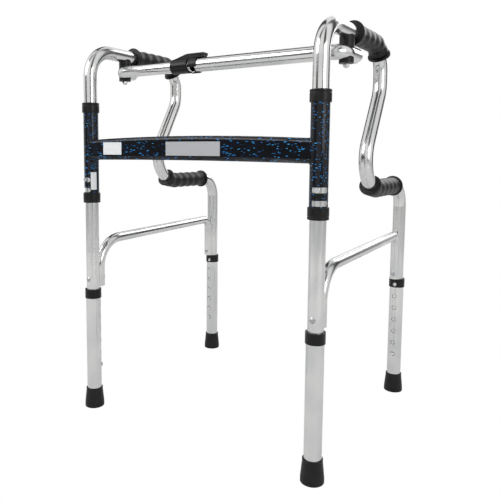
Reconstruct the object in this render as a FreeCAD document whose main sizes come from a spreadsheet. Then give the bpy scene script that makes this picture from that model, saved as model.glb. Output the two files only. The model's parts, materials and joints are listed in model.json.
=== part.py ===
import FreeCAD, Part
import Sketcher
import math
import os
import re

# Walking frame with two swinging side frames hinged in a rigid front H-frame.
# Millimetres. The origin is on the floor, midway between the four feet.
# +X is to the right as seen from the front, -Y is the front, +Z is up.
# Routes of bent tubes are drawn in each side frame's own plane, with the first number
# measured backwards from the upright's axis and the second upwards from the floor.

SIZES = [
    # name, value, meaning
    ("frame_width", 480, "between the axes of the two uprights"),
    ("side_depth", 425, "from the upright's axis to the rear leg's axis"),
    ("handle_height", 711, "centre line of the top handles above the floor"),
    ("low_handle_height", 449, "centre line of the lower handles"),
    ("tube_od", 25.4, "side frame tube, outside"),
    ("tube_wall", 1.6, "side frame tube, wall"),
    ("leg_od", 28.6, "lower leg tube, outside"),
    ("leg_fit", 0.08, "radial clearance of a side tube in its lower leg"),
    ("front_bend", 52, "bend radius, upright to top handle"),
    ("rear_bend", 48, "bend radius, top handle to the drop behind it"),
    ("drop_reach", 270, "how far back the top handle's drop stands"),
    ("knee_bend", 60, "bend radius under the drop"),
    ("elbow_reach", 162, "where the slanting run would meet the lower handle's line"),
    ("elbow_bend", 56, "bend radius, slanting run to lower handle"),
    ("heel_bend", 46, "bend radius, lower handle to rear leg"),
    ("tube_end", 45, "lower end of the side frame tubes above the floor"),
    ("brace_od", 19, "brace tube, outside"),
    ("brace_wall", 1.5, "brace tube, wall"),
    ("brace_front_height", 336, "brace line at the upright"),
    ("brace_rear_height", 344, "brace line at the rear leg"),
    ("brace_front_bend", 55, "brace bend radius at the upright"),
    ("brace_rear_bend", 24, "brace bend radius at the rear leg"),
    ("brace_end", 246, "lower end of the brace at the upright"),
    ("brace_rear_end", 252, "lower end of the brace at the rear leg"),
    ("brace_bite", 3, "how deep a cupped brace end hugs its tube"),
    ("rivet_height", 262, "rivets through brace and tube"),
    ("rivet_dia", 4.8, "rivet shank"),
    ("rivet_head", 10, "rivet head diameter"),
    ("leg_base", 5, "lower end of the leg tubes, above the floor"),
    ("front_collar_top", 242, "top of the front collars"),
    ("rear_collar_top", 248, "top of the rear collars"),
    ("collar_height", 18, "collar height"),
    ("collar_od", 31.8, "collar outside"),
    ("collar_lip", 2, "lip of a collar above its leg tube"),
    ("hole_pitch", 25.4, "height holes, centre to centre"),
    ("hole_count", 7, "height holes in each leg"),
    ("button_height", 84, "snap buttons above the floor at the lowest setting"),
    ("button_dia", 7.6, "snap button"),
    ("button_slack", 0.6, "how much wider than the button its holes are"),
    ("button_turn", 140, "front buttons face this many degrees inboard of straight ahead"),
    ("button_stand", 2.4, "how far a button stands out of its leg"),
    ("button_sink", 6, "how far a button reaches in from its leg's outside"),
    ("button_flange", 9.6, "flange behind the snap button"),
    ("button_seat", 1.0, "thickness of the button's flange"),
    ("spring_width", 6, "leaf spring width"),
    ("spring_gauge", 0.6, "leaf spring thickness"),
    ("spring_arm", 26, "leaf spring arm length"),
    ("foot_height", 39, "rubber foot height"),
    ("foot_dia", 38, "rubber foot at the floor"),
    ("foot_top_dia", 32, "rubber foot at its rim"),
    ("foot_band", 7, "straight band round the foot's base"),
    ("sleeve_od", 28.6, "hinge sleeve outside"),
    ("sleeve_wall", 1.2, "hinge sleeve wall"),
    ("hinge_top", 609, "top of the upper bushes"),
    ("hinge_bottom", 415, "bottom of the lower bushes"),
    ("bush_height", 19, "visible height of a bush"),
    ("bush_od", 33, "bush outside"),
    ("bush_lip", 3, "end wall of a bush beyond its sleeve"),
    ("hinge_fit", 0.06, "radial running clearance of the upright in its bushes"),
    ("slot_height", 8.6, "height of the swing slots"),
    ("upper_slot", 460, "centre height of the upper slots"),
    ("lower_slot", 440, "centre height of the lower slots"),
    ("screw_turn", 13, "stop screws stand this many degrees outboard of straight ahead"),
    ("swing_in", 95, "swing the slots leave inwards, degrees"),
    ("swing_out", 31, "swing the slots leave outwards, degrees"),
    ("screw_head_dia", 8.4, "stop screw head"),
    ("screw_head_height", 3.2, "stop screw head height"),
    ("screw_dia", 4.8, "stop screw thread"),
    ("beam_height", 38, "cross beam height at its ends"),
    ("beam_depth", 26, "cross beam front to back"),
    ("beam_centre", 518, "cross beam centre height at its ends"),
    ("beam_arch", 6, "rise of the beam's top edge at mid span"),
    ("beam_under_arch", 2, "rise of the beam's lower edge at mid span"),
    ("beam_round", 7, "rounding of the beam's long edges"),
    ("beam_wall", 1.5, "cross beam wall"),
    ("plate_length", 113, "blank nameplate length"),
    ("plate_centre", 14, "nameplate, distance right of mid span"),
    ("plate_height", 24, "blank nameplate height"),
    ("plate_gauge", 0.8, "nameplate thickness"),
    ("label_length", 46, "blank beam label length"),
    ("label_height", 23, "blank beam label height"),
    ("label_centre", 171, "beam label, distance left of mid span"),
    ("label_gauge", 0.3, "thickness of the stuck-on labels"),
    ("sticker_height", 34, "blank sleeve label height"),
    ("sticker_centre", 458, "blank sleeve label, centre height"),
    ("sticker_arc", 46, "angle the sleeve label covers, degrees"),
    ("sticker_turn", 62, "where the sleeve label's middle faces, degrees inboard"),
    ("grip_od", 35, "grip body"),
    ("grip_flange_od", 41, "flanges at the grip ends"),
    ("grip_flange", 6, "flange thickness"),
    ("grip_start", 120, "front end of the top grip, behind the upright"),
    ("grip_wrap", 54, "top grip's wrap round the rear bend, degrees"),
    ("low_grip_wrap", 33, "lower grip's wrap round the elbow bend, degrees"),
    ("low_grip_end", 374, "rear end of the lower grip, behind the upright"),
    ("grip_fit", 0.05, "radial clearance of a grip on its tube"),
    ("bar_drop", 35, "top bar's centre line below the handles"),
    ("bar_reach", 80, "top bar's run behind the uprights"),
    ("left_bar_od", 22.2, "left half of the top bar"),
    ("right_bar_od", 25.4, "right half of the top bar"),
    ("bar_wall", 1.5, "top bar wall"),
    ("bar_bend", 22, "bend radius at the outer ends of the bar"),
    ("pivot_reach", 98, "bar pivots behind the uprights"),
    ("left_bar_tail", 124, "end of the left half's short leg"),
    ("right_bar_tail", 138, "end of the right half's short leg"),
    ("left_bar_tip", 53, "tip of the left half, left of mid span"),
    ("right_bar_tip", 41, "tip of the right half, left of mid span"),
    ("plug_dome", 3, "how far a tube plug stands out"),
    ("plug_depth", 12, "how deep a tube plug sits"),
    ("saddle_dia", 24, "saddle blocks round the pivot bolt"),
    ("saddle_wrap", 5, "how far a saddle reaches up or down its tube's side"),
    ("saddle_base", 4.5, "washer saddle below the bar"),
    ("pivot_gap", 0.2, "clearance between the turning saddles"),
    ("bolt_dia", 6, "pivot bolt"),
    ("bolt_fit", 0.05, "radial running clearance on the pivot bolt"),
    ("dome_dia", 11.5, "domed head of the pivot bolt"),
    ("dome_height", 7.5, "domed head height"),
    ("insert_dia", 9, "threaded insert in the handle tube"),
    ("insert_length", 10, "threaded insert length"),
    ("clip_left", 97, "left end of the clip's sleeve, left of mid span"),
    ("clip_right", 60, "right end of the clip's sleeve, left of mid span"),
    ("clip_od", 27.6, "clip sleeve outside"),
    ("clip_tab", 23, "end of the clip's finger tab, left of mid span"),
    ("clip_rise", 21.5, "top of the finger tab above the bar's axis"),
    ("clip_width", 13, "width of the clip's arm"),
    ("clip_gap", 0.4, "clearance of the clip's arm over the right half"),
    ("jaw_fit", 0.08, "radial clearance of the jaw on the right half"),
    ("jaw_left", 55, "left edge of the snap jaw, left of mid span"),
    ("jaw_right", 38, "right edge of the snap jaw, left of mid span"),
    ("jaw_wall", 2.0, "wall of the snap jaw"),
    ("jaw_mouth", 70, "opening of the snap jaw, degrees"),
]

doc = FreeCAD.newDocument("walking_frame")
sheet = doc.addObject("Spreadsheet::Sheet", "sizes")
for row, (name, value, meaning) in enumerate(SIZES, start=1):
    sheet.set(f"A{row}", meaning)
    sheet.set(f"B{row}", str(value))
    sheet.setAlias(f"B{row}", name)
doc.recompute()

WORDS = {name for name, value, meaning in SIZES}
SIDES = {"left": -1, "right": 1}
Z_AXIS = FreeCAD.Vector(0, 0, 1)
nodes = []


def size(name):
    """A driving dimension, read from the sheet."""
    return float(sheet.get(name))


def formula(text):
    """A sum in the sheet's words, as the document's expression language writes it."""
    return re.sub(r"[a-z_]+", lambda m: "sizes." + m[0] if m[0] in WORDS else m[0], text)


def bind(thing, **sums):
    """Ties properties to the sheet; x, y and z tie the place."""
    for key, text in sums.items():
        prop = "Placement.Base." + key if key in ("x", "y", "z") else key
        thing.setExpression(prop, formula(str(text)))
    return thing


def node(name, thing, back="0"):
    """Names a finished sub-part after its file, and moves it forward by half the depth."""
    thing.Label = name
    bind(thing, y=f"{back} - side_depth / 2")
    nodes.append(thing)
    return thing


TURNS = {
    "Z": FreeCAD.Rotation(),
    "X": FreeCAD.Rotation(FreeCAD.Vector(0, 1, 0), 90),
    "Y": FreeCAD.Rotation(FreeCAD.Vector(1, 0, 0), -90),
}


def rod(radius, length, x=0, y=0, z=0, along="Z"):
    """A solid cylinder that starts at x, y, z and runs along an axis."""
    thing = doc.addObject("Part::Cylinder", "rod")
    thing.Placement = FreeCAD.Placement(FreeCAD.Vector(), TURNS[along])
    return bind(thing, Radius=radius, Height=length, x=x, y=y, z=z)


def cone(low, high, length, x=0, y=0, z=0, along="Z"):
    """A truncated cone, from radius low to radius high."""
    thing = doc.addObject("Part::Cone", "cone")
    thing.Placement = FreeCAD.Placement(FreeCAD.Vector(), TURNS[along])
    return bind(thing, Radius1=low, Radius2=high, Height=length, x=x, y=y, z=z)


def block(length, width, height, x=0, y=0, z=0):
    """A box, from its lowest corner."""
    thing = doc.addObject("Part::Box", "block")
    return bind(thing, Length=length, Width=width, Height=height, x=x, y=y, z=z)


def cut(base, *tools):
    """The first thing less the others."""
    for tool in tools:
        thing = doc.addObject("Part::Cut", "cut")
        thing.Base, thing.Tool = base, tool
        base = thing
    return base


def join(*things):
    """Several things as one solid."""
    thing = doc.addObject("Part::MultiFuse", "join")
    thing.Shapes = list(things)
    thing.Refine = True
    return thing


def group(*things):
    """Separate solids that share a node."""
    thing = doc.addObject("Part::Compound", "group")
    thing.Links = list(things)
    return thing


def shaped(name, shape):
    """A node whose shape follows a bent route."""
    thing = doc.addObject("Part::Feature", name)
    thing.Shape = shape
    return thing


# ---- bent routes ----


def bent_route(corners, radii):
    """Straight runs through the corners, joined by tangent arcs of the given radii."""
    points = [FreeCAD.Vector(*corner) for corner in corners]
    edges, start = [], points[0]
    for corner, after, radius in zip(points[1:-1], points[2:], radii):
        into = (corner - start).normalize()
        out = (after - corner).normalize()
        turn = into.getAngle(out)
        setback = radius * math.tan(turn / 2)
        first, last = corner - into * setback, corner + out * setback
        inward = (out - into).normalize()
        centre = corner + inward * (radius / math.cos(turn / 2))
        middle = centre - inward * radius
        edges.append(Part.LineSegment(start, first).toShape())
        edges.append(Part.Arc(first, middle, last).toShape())
        start = last
    edges.append(Part.LineSegment(start, points[-1]).toShape())
    return Part.Wire(edges)


def along_route(wire, radius):
    """A round bar whose axis is the route."""
    first = wire.Edges[0]
    start = first.valueAt(first.FirstParameter)
    heading = first.tangentAt(first.FirstParameter)
    section = Part.Wire([Part.makeCircle(radius, start, heading)])
    return wire.makePipeShell([section], True, False, 2)


def round_bar(start, heading, radius, length):
    """A straight round bar, as a plain shape."""
    return Part.makeCylinder(radius, length, FreeCAD.Vector(*start), FreeCAD.Vector(*heading))


def side_corners(x):
    """Corners of a side frame's tube, from the foot of the upright to the foot of the rear leg."""
    top, low, back = size("handle_height"), size("low_handle_height"), size("side_depth")
    drop, elbow = size("drop_reach"), size("elbow_reach")
    # the slanting run starts under the drop and leans forward as far as the knee bend shows
    knee = low + (top - low) * 0.686
    return [
        (x, 0, size("tube_end")),
        (x, 0, top),
        (x, drop, top),
        (x, drop, knee),
        (x, elbow, low),
        (x, back, low),
        (x, back, size("tube_end")),
    ]


def side_route(x):
    bends = ("front_bend", "rear_bend", "knee_bend", "elbow_bend", "heel_bend")
    return bent_route(side_corners(x), [size(bend) for bend in bends])


def brace_route(x):
    """The brace, up from the upright's collar, back, and down to the rear leg's collar."""
    front = (size("tube_od") + size("brace_od")) / 2 - size("brace_bite")
    rear = size("side_depth") - front
    corners = [
        (x, front, size("brace_end")),
        (x, front, size("brace_front_height")),
        (x, rear, size("brace_rear_height")),
        (x, rear, size("brace_rear_end")),
    ]
    return bent_route(corners, [size("brace_front_bend"), size("brace_rear_bend")])


def bar_height():
    return size("handle_height") - size("bar_drop")


def bar_route(side):
    """A half of the top bar, from its tip near mid span to the short leg under the handle."""
    outer = SIDES[side] * size("frame_width") / 2
    reach, height = size("bar_reach"), bar_height()
    corners = [
        (-size(side + "_bar_tip"), reach, height),
        (outer, reach, height),
        (outer, size(side + "_bar_tail"), height),
    ]
    return bent_route(corners, [size("bar_bend")])


# ---- front H-frame ----


def swing_slot(side, height):
    """Cutter for a slot round a sleeve: a sector with round ends, about the sleeve's axis."""
    half = size("slot_height") / 2
    reach = size("sleeve_od")
    inner = size("screw_turn") - size("swing_out")
    outer = size("screw_turn") + size("swing_in")
    base = FreeCAD.Vector(0, 0, height - half)
    sector = Part.makeCylinder(reach, 2 * half, base, Z_AXIS, outer - inner)
    ends = []
    for turn in (0, outer - inner):
        heading = FreeCAD.Rotation(Z_AXIS, turn).multVec(FreeCAD.Vector(1, 0, 0))
        centre = FreeCAD.Vector(0, 0, height)
        ends.append(Part.makeCylinder(half, reach, centre, heading))
    cutter = sector.fuse(ends)
    # the sector starts on +X; -Y is straight ahead, and positive turns go to +X there
    if side == "right":
        cutter.rotate(FreeCAD.Vector(), Z_AXIS, -90 + inner)
    else:
        cutter.rotate(FreeCAD.Vector(), Z_AXIS, -90 - outer)
    return cutter


def sleeve(side):
    """Hinge sleeve with two swing slots that show the upright inside."""
    x = SIDES[side] * size("frame_width") / 2
    radius = size("sleeve_od") / 2
    low = size("hinge_bottom") + size("bush_lip")
    length = size("hinge_top") - size("bush_lip") - low
    tube = round_bar((0, 0, low), (0, 0, 1), radius, length)
    tube = tube.cut(round_bar((0, 0, low), (0, 0, 1), radius - size("sleeve_wall"), length))
    tube = tube.cut([swing_slot(side, size("upper_slot")), swing_slot(side, size("lower_slot"))])
    tube.translate(FreeCAD.Vector(x, 0, 0))
    node(side + "_sleeve", shaped("sleeve", tube))


def bushes(side):
    """Moulded bearing caps over both ends of a sleeve."""
    x = f"{SIDES[side]} * frame_width / 2"
    for end, base, inside in (
        ("upper", "hinge_top - bush_height", "hinge_top - bush_height"),
        ("lower", "hinge_bottom", "hinge_bottom + bush_lip"),
    ):
        shell = rod("bush_od / 2", "bush_height", x, 0, base)
        seat = rod("sleeve_od / 2", "bush_height - bush_lip", x, 0, inside)
        bore = rod("tube_od / 2 + hinge_fit", "bush_height", x, 0, base)
        node(f"{side}_{end}_bush", cut(shell, seat, bore))


def beam_solid(name, inset, inset_text):
    """The arched beam's outside, or its hollow, which is smaller all round by the inset."""
    body = doc.addObject("PartDesign::Body", name)
    plane = next(o for o in body.Origin.OriginFeatures if o.Role == "XZ_Plane")
    sketch = body.newObject("Sketcher::SketchObject", name + "_front")
    sketch.AttachmentSupport, sketch.MapMode = (plane, [""]), "FlatFace"
    half, top = size("frame_width") / 2, size("beam_height") / 2 - inset
    low = -top
    corners = [(-half, top), (half, top), (half, low), (-half, low)]
    corners = [FreeCAD.Vector(x, y, 0) for x, y in corners]
    crown = FreeCAD.Vector(0, top + size("beam_arch"), 0)
    belly = FreeCAD.Vector(0, low + size("beam_under_arch"), 0)
    sketch.addGeometry(Part.Arc(corners[1], crown, corners[0]), False)
    sketch.addGeometry(Part.LineSegment(corners[0], corners[3]), False)
    sketch.addGeometry(Part.Arc(corners[2], belly, corners[3]), False)
    sketch.addGeometry(Part.LineSegment(corners[2], corners[1]), False)
    arch_ends = {(0, 1): (1, 1), (0, 2): (-1, 1), (2, 1): (1, -1), (2, 2): (-1, -1)}
    for (curve, end), (right, up) in arch_ends.items():
        across = sketch.addConstraint(
            Sketcher.Constraint("DistanceX", -1, 1, curve, end, right * half))
        sketch.setExpression(f"Constraints[{across}]", formula(f"{right} * frame_width / 2"))
        rise = sketch.addConstraint(
            Sketcher.Constraint("DistanceY", -1, 1, curve, end, up * top))
        sketch.setExpression(f"Constraints[{rise}]", formula(f"{up} * (beam_height / 2 - {inset_text})"))
    for curve, arch in ((0, "beam_arch"), (2, "beam_under_arch")):
        rise = size(arch)
        bow = Sketcher.Constraint("Radius", curve, (half * half + rise * rise) / (2 * rise))
        bow = sketch.addConstraint(bow)
        text = f"(frame_width * frame_width / 4 + {arch} * {arch}) / (2 * {arch})"
        sketch.setExpression(f"Constraints[{bow}]", formula(text))
    for line, (first, first_end), (last, last_end) in (
        (1, (0, 2), (2, 2)),
        (3, (2, 1), (0, 1)),
    ):
        sketch.addConstraint(Sketcher.Constraint("Coincident", line, 1, first, first_end))
        sketch.addConstraint(Sketcher.Constraint("Coincident", line, 2, last, last_end))
    pad = body.newObject("PartDesign::Pad", name + "_pad")
    pad.Profile, pad.Midplane = sketch, True
    bind(pad, Length=f"beam_depth - 2 * {inset_text}")
    doc.recompute()
    long_edges = [
        f"Edge{i + 1}"
        for i, edge in enumerate(pad.Shape.Edges)
        if edge.BoundBox.XLength > half
    ]
    rounding = body.newObject("PartDesign::Fillet", name + "_rounding")
    rounding.Base = (pad, long_edges)
    bind(rounding, Radius=f"beam_round - {inset_text}")
    return bind(body, z="beam_centre")


def cross_beam():
    """Flat-oval tube, arched along its top edge and coped to the sleeves at both ends."""
    body = beam_solid("beam_outside", 0, "0")
    hollow = beam_solid("beam_hollow", size("beam_wall"), "beam_wall")
    copes = [
        rod("sleeve_od / 2", "2 * beam_height", f"{turn} * frame_width / 2", 0,
            "beam_centre - beam_height")
        for turn in SIDES.values()
    ]
    node("cross_beam", cut(body, hollow, *copes))


def labels():
    """Blank nameplate and labels: nothing is printed on them."""
    plate = block("plate_length", "plate_gauge", "plate_height", "plate_centre - plate_length / 2",
                  "-beam_depth / 2 - plate_gauge", "beam_centre - plate_height / 2 + beam_arch / 2")
    node("nameplate", group(plate))
    label = block("label_length", "label_gauge", "label_height",
                  "-label_centre - label_length / 2", "-beam_depth / 2 - label_gauge",
                  "beam_centre - label_height / 2 + beam_arch / 2")
    node("beam_label", group(label))
    radius, gauge, height = size("sleeve_od") / 2, size("label_gauge"), size("sticker_height")
    arc = size("sticker_arc")
    base = FreeCAD.Vector(0, 0, size("sticker_centre") - height / 2)
    skin = Part.makeCylinder(radius + gauge, height, base, Z_AXIS, arc)
    skin = skin.cut(Part.makeCylinder(radius, height, base, Z_AXIS))
    skin.rotate(FreeCAD.Vector(), Z_AXIS, -90 + size("sticker_turn") - arc / 2)
    skin.translate(FreeCAD.Vector(-size("frame_width") / 2, 0, 0))
    node("sleeve_label", shaped("sleeve_label", skin))


# ---- side frames ----


def button_facing(side, leg):
    """How far a leg's button is turned from straight ahead; positive turns go to +X."""
    return -SIDES[side] * size("button_turn") if leg == "front" else 0


def side_tube(side):
    """One tube from front foot to rear foot: upright, handle, S-bend, lower handle, rear leg."""
    x = SIDES[side] * size("frame_width") / 2
    route = side_route(x)
    tube = along_route(route, size("tube_od") / 2)
    tube = tube.cut(along_route(route, size("tube_od") / 2 - size("tube_wall")))
    reach = size("tube_od")
    button = (size("button_dia") + size("button_slack")) / 2
    holes = []
    for leg, back in (("front", 0), ("rear", size("side_depth"))):
        turn = math.radians(button_facing(side, leg))
        facing = (math.sin(turn), -math.cos(turn), 0)
        holes.append(round_bar((x, back, size("button_height")), facing, button, reach))
    shank = size("rivet_dia") / 2
    for back in (0, size("side_depth")):
        start = (x, back - reach, size("rivet_height"))
        holes.append(round_bar(start, (0, 1, 0), shank, 2 * reach))
    turn = math.radians(size("screw_turn")) * SIDES[side]
    ahead = (math.sin(turn), -math.cos(turn), 0)
    holes.append(round_bar((x, 0, size("upper_slot")), ahead, size("screw_dia") / 2, reach))
    insert = (x, size("pivot_reach"), size("handle_height") - reach)
    holes.append(round_bar(insert, (0, 0, 1), size("insert_dia") / 2, reach))
    node(side + "_side_tube", shaped("side_tube", tube.cut(holes)))


def brace(side):
    """Cross tube between upright and rear leg, its ends cupped round them."""
    x = SIDES[side] * size("frame_width") / 2
    route = brace_route(x)
    tube = along_route(route, size("brace_od") / 2)
    tube = tube.cut(along_route(route, size("brace_od") / 2 - size("brace_wall")))
    length = size("handle_height")
    hugs = [
        round_bar((x, back, 0), (0, 0, 1), size("tube_od") / 2, length)
        for back in (0, size("side_depth"))
    ]
    start = (x, -size("tube_od"), size("rivet_height"))
    holes = [round_bar(start, (0, 1, 0), size("rivet_dia") / 2, 2 * size("side_depth"))]
    node(side + "_brace", shaped("brace", tube.cut(hugs + holes)))


def brace_plugs(side):
    """Plastic plugs in the lower ends of a brace, clear of the rivets above them."""
    x = f"{SIDES[side]} * frame_width / 2"
    front = "((tube_od + brace_od) / 2 - brace_bite)"
    plugs = []
    for back, end, hug in (
        (front, "brace_end", "0"),
        (f"side_depth - {front}", "brace_rear_end", "side_depth"),
    ):
        cap = rod("brace_od / 2", 1.5, x, back, f"{end} - 1.5")
        stem = rod("brace_od / 2 - brace_wall", 5, x, back, end)
        tube = rod("tube_od / 2", "handle_height", x, hug, 0)
        plugs.append(cut(join(cap, stem), tube))
    node(side + "_brace_plugs", group(*plugs))


def rivets(side):
    """Domed rivets through tube and brace, with a small closing head on the far side."""
    x = f"{SIDES[side]} * frame_width / 2"
    through = "(tube_od + brace_od - brace_bite)"
    front = "((tube_od + brace_od) / 2 - brace_bite)"
    made = []
    for start, hug, run in (
        ("(-tube_od / 2)", "0", front),
        (f"(side_depth + tube_od / 2 - {through})", "side_depth", f"side_depth - {front}"),
    ):
        solids = [
            rod("tube_od / 2", "handle_height", x, hug, 0),
            rod("brace_od / 2", "handle_height", x, run, 0),
        ]
        end = f"{start} + {through}"
        heads = [
            cone("rivet_head / 4", "rivet_head / 2", 1.6, x, f"{start} - 1.6", "rivet_height", "Y"),
            rod("rivet_head / 2", 1.2, x, start, "rivet_height", "Y"),
            rod("rivet_head / 2", 1.2, x, f"{end} - 1.2", "rivet_height", "Y"),
            cone("rivet_head / 2", "rivet_head / 4", 1.6, x, end, "rivet_height", "Y"),
        ]
        shank = rod("rivet_dia / 2", through, x, start, "rivet_height", "Y")
        made.append(join(cut(join(*heads[:2]), *solids), cut(join(*heads[2:]), *solids), shank))
    node(side + "_rivets", group(*made))


def grip(side, name, route):
    """Soft grip over a handle tube, with a flange at each end."""
    fit = size("tube_od") / 2 + size("grip_fit")
    solid = along_route(route, size("grip_od") / 2)
    for edge, at_start in ((route.Edges[0], True), (route.Edges[-1], False)):
        where = edge.FirstParameter if at_start else edge.LastParameter
        place, heading = edge.valueAt(where), edge.tangentAt(where)
        heading = heading if at_start else heading * -1
        flange = Part.makeCylinder(size("grip_flange_od") / 2, size("grip_flange"), place, heading)
        solid = solid.fuse(flange)
    x = SIDES[side] * size("frame_width") / 2
    solid = solid.cut(along_route(side_route(x), fit))
    node(f"{side}_{name}", shaped(name, solid))


def grips(side):
    """Top grip on the handle and round the rear bend; lower grip from the elbow back."""
    x = SIDES[side] * size("frame_width") / 2
    top, low = size("handle_height"), size("low_handle_height")
    bend, wrap = size("rear_bend"), math.radians(size("grip_wrap"))
    turn_start = size("drop_reach") - bend
    centre = FreeCAD.Vector(x, turn_start, top - bend)

    def on_arc(middle, radius, angle):
        return middle + FreeCAD.Vector(0, radius * math.sin(angle), radius * math.cos(angle))

    straight = Part.LineSegment(
        FreeCAD.Vector(x, size("grip_start"), top), FreeCAD.Vector(x, turn_start, top)
    )
    curve = Part.Arc(*[on_arc(centre, bend, wrap * part) for part in (0, 0.5, 1)])
    grip(side, "top_grip", Part.Wire([straight.toShape(), curve.toShape()]))

    slant = side_corners(x)[3], side_corners(x)[4]
    lean = math.atan2(slant[0][1] - slant[1][1], slant[0][2] - slant[1][2])
    radius = size("elbow_bend")
    setback = radius * math.tan((math.pi / 2 + lean) / 2)
    turn_end = size("elbow_reach") + setback
    centre = FreeCAD.Vector(x, turn_end, low + radius)
    wrap = math.radians(size("low_grip_wrap"))
    curve = Part.Arc(*[on_arc(centre, radius, math.pi + wrap * part) for part in (1, 0.5, 0)])
    straight = Part.LineSegment(
        FreeCAD.Vector(x, turn_end, low), FreeCAD.Vector(x, size("low_grip_end"), low)
    )
    grip(side, "low_grip", Part.Wire([curve.toShape(), straight.toShape()]))


def stop_screw(side):
    """Cross-recess screw in the upright that runs in the upper slot."""
    shank = rod("screw_dia / 2", "tube_wall + 4", 0, "-tube_od / 2", "upper_slot", "Y")
    head = rod("screw_head_dia / 2", "screw_head_height", 0, "-tube_od / 2 - screw_head_height",
               "upper_slot", "Y")
    relief = rod("tube_od / 2", "slot_height * 2", 0, 0, "upper_slot - slot_height")
    recess = [
        block(long, 1.6, high, f"-{long} / 2", "-tube_od / 2 - screw_head_height",
              f"upper_slot - {high} / 2")
        for long, high in ((4.6, 1.0), (1.0, 4.6))
    ]
    screw = join(cut(head, relief, *recess), shank)
    screw.Placement = FreeCAD.Placement(FreeCAD.Vector(), FreeCAD.Rotation(Z_AXIS, 1))
    screw.setExpression("Placement.Rotation.Angle", formula(f"{SIDES[side]} * screw_turn"))
    node(side + "_stop_screw", bind(screw, x=f"{SIDES[side]} * frame_width / 2"))


# ---- leaf springs, buttons and legs ----
# Drawn round the Z axis with the button straight ahead, then turned and put in place.


def stand(name, thing, side, leg):
    """Turns a leg's sub-part to face the way its button does and puts it on its tube."""
    thing.Placement = FreeCAD.Placement(FreeCAD.Vector(), FreeCAD.Rotation(Z_AXIS, 1))
    turn = f"{-SIDES[side]} * button_turn" if leg == "front" else "0"
    thing.setExpression("Placement.Rotation.Angle", formula(turn))
    bind(thing, x=f"{SIDES[side]} * frame_width / 2")
    node(f"{side}_{leg}_{name}", thing, "0" if leg == "front" else "side_depth")


def button_spring(side, leg):
    """U-shaped leaf spring inside the tube: it bears on the bore and pushes the button out."""
    back = "(sqrt((tube_od / 2 - tube_wall)^2 - spring_width^2 / 4) - 0.05)"
    front = "(leg_od / 2 - button_sink - 0.05)"
    low = "button_height - spring_arm / 2"
    bend, middle = f"({front} + {back}) / 2", f"({back} - {front}) / 2"
    edge = "-spring_width / 2"
    ring = rod(bend, "spring_width", edge, middle, low, "X")
    hollow = rod(f"{bend} - spring_gauge", "spring_width", edge, middle, low, "X")
    upper = block("spring_width", "2 * tube_od", "tube_od", edge, "-tube_od", low)
    arms = [
        block("spring_width", "spring_gauge", "spring_arm", edge, place, low)
        for place in (f"-{front}", f"{back} - spring_gauge")
    ]
    stand("spring", join(cut(ring, hollow, upper), *arms), side, leg)


def snap_button(side, leg):
    """Spring button with its flange, which stands out through tube and leg."""
    face = "-leg_od / 2 - button_stand"
    inner = "-leg_od / 2 + button_sink"
    length = "button_stand + button_sink - 1"
    body = rod("button_dia / 2", length, 0, f"{face} + 1", "button_height", "Y")
    crown = cone("button_dia / 2 - 1", "button_dia / 2", 1, 0, face, "button_height", "Y")
    plate = rod("button_flange / 2", "button_seat", 0, f"{inner} - button_seat",
                "button_height", "Y")
    stand("button", join(body, crown, plate), side, leg)


def leg_tube(side, leg, top):
    """Lower leg tube with its row of height holes."""
    length = f"{top} - collar_lip - leg_base"
    tube = cut(
        rod("leg_od / 2", length, 0, 0, "leg_base"),
        rod("tube_od / 2 + leg_fit", length, 0, 0, "leg_base"),
    )
    holes = []
    for number in range(int(size("hole_count"))):
        height = f"button_height + {number} * hole_pitch"
        holes.append(rod("(button_dia + button_slack) / 2", "leg_od", 0, "-leg_od", height, "Y"))
    stand("leg", cut(tube, *holes), side, leg)


def collar(side, leg, top):
    """Moulded collar that closes the gap between leg and side tube."""
    base = f"{top} - collar_height"
    shell = rod("collar_od / 2", "collar_height", 0, 0, base)
    seat = rod("leg_od / 2", "collar_height - collar_lip", 0, 0, base)
    bore = rod("tube_od / 2 + leg_fit", "collar_height", 0, 0, base)
    window = rod("(button_dia + button_slack) / 2", "leg_od", 0, "-leg_od",
                 "button_height + (hole_count - 1) * hole_pitch", "Y")
    stand("collar", cut(shell, seat, bore, window), side, leg)


def foot(side, leg):
    """Tapered rubber foot pushed on to the leg tube."""
    sole = cone("foot_dia / 2 - 1.5", "foot_dia / 2", 1.5)
    band = rod("foot_dia / 2", "foot_band - 1.5", 0, 0, 1.5)
    taper = cone("foot_dia / 2", "foot_top_dia / 2", "foot_height - foot_band", 0, 0, "foot_band")
    socket = rod("leg_od / 2", "foot_height", 0, 0, "leg_base")
    stand("foot", cut(join(sole, band, taper), socket), side, leg)


def legs(side):
    """Both telescopic legs of a side."""
    for leg in ("front", "rear"):
        top = leg + "_collar_top"
        leg_tube(side, leg, top)
        collar(side, leg, top)
        foot(side, leg)
        snap_button(side, leg)
        button_spring(side, leg)


# ---- top bar ----


def pivot_height(side):
    """Where the turning faces of a pivot's two saddles meet."""
    handle = size("handle_height") - size("tube_od") / 2
    bar = bar_height() + size("right_bar_od") / 2
    return (handle + bar) / 2


def bar_tube(side):
    """A half of the top bar, drilled for its pivot bolt."""
    route = bar_route(side)
    radius = size(side + "_bar_od") / 2
    tube = along_route(route, radius).cut(along_route(route, radius - size("bar_wall")))
    x = SIDES[side] * size("frame_width") / 2
    bore = size("bolt_dia") / 2 + size("bolt_fit")
    hole = round_bar((x, size("pivot_reach"), 0), (0, 0, 1), bore, size("handle_height"))
    node(side + "_bar_tube", shaped("bar_tube", tube.cut(hole)))


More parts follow.
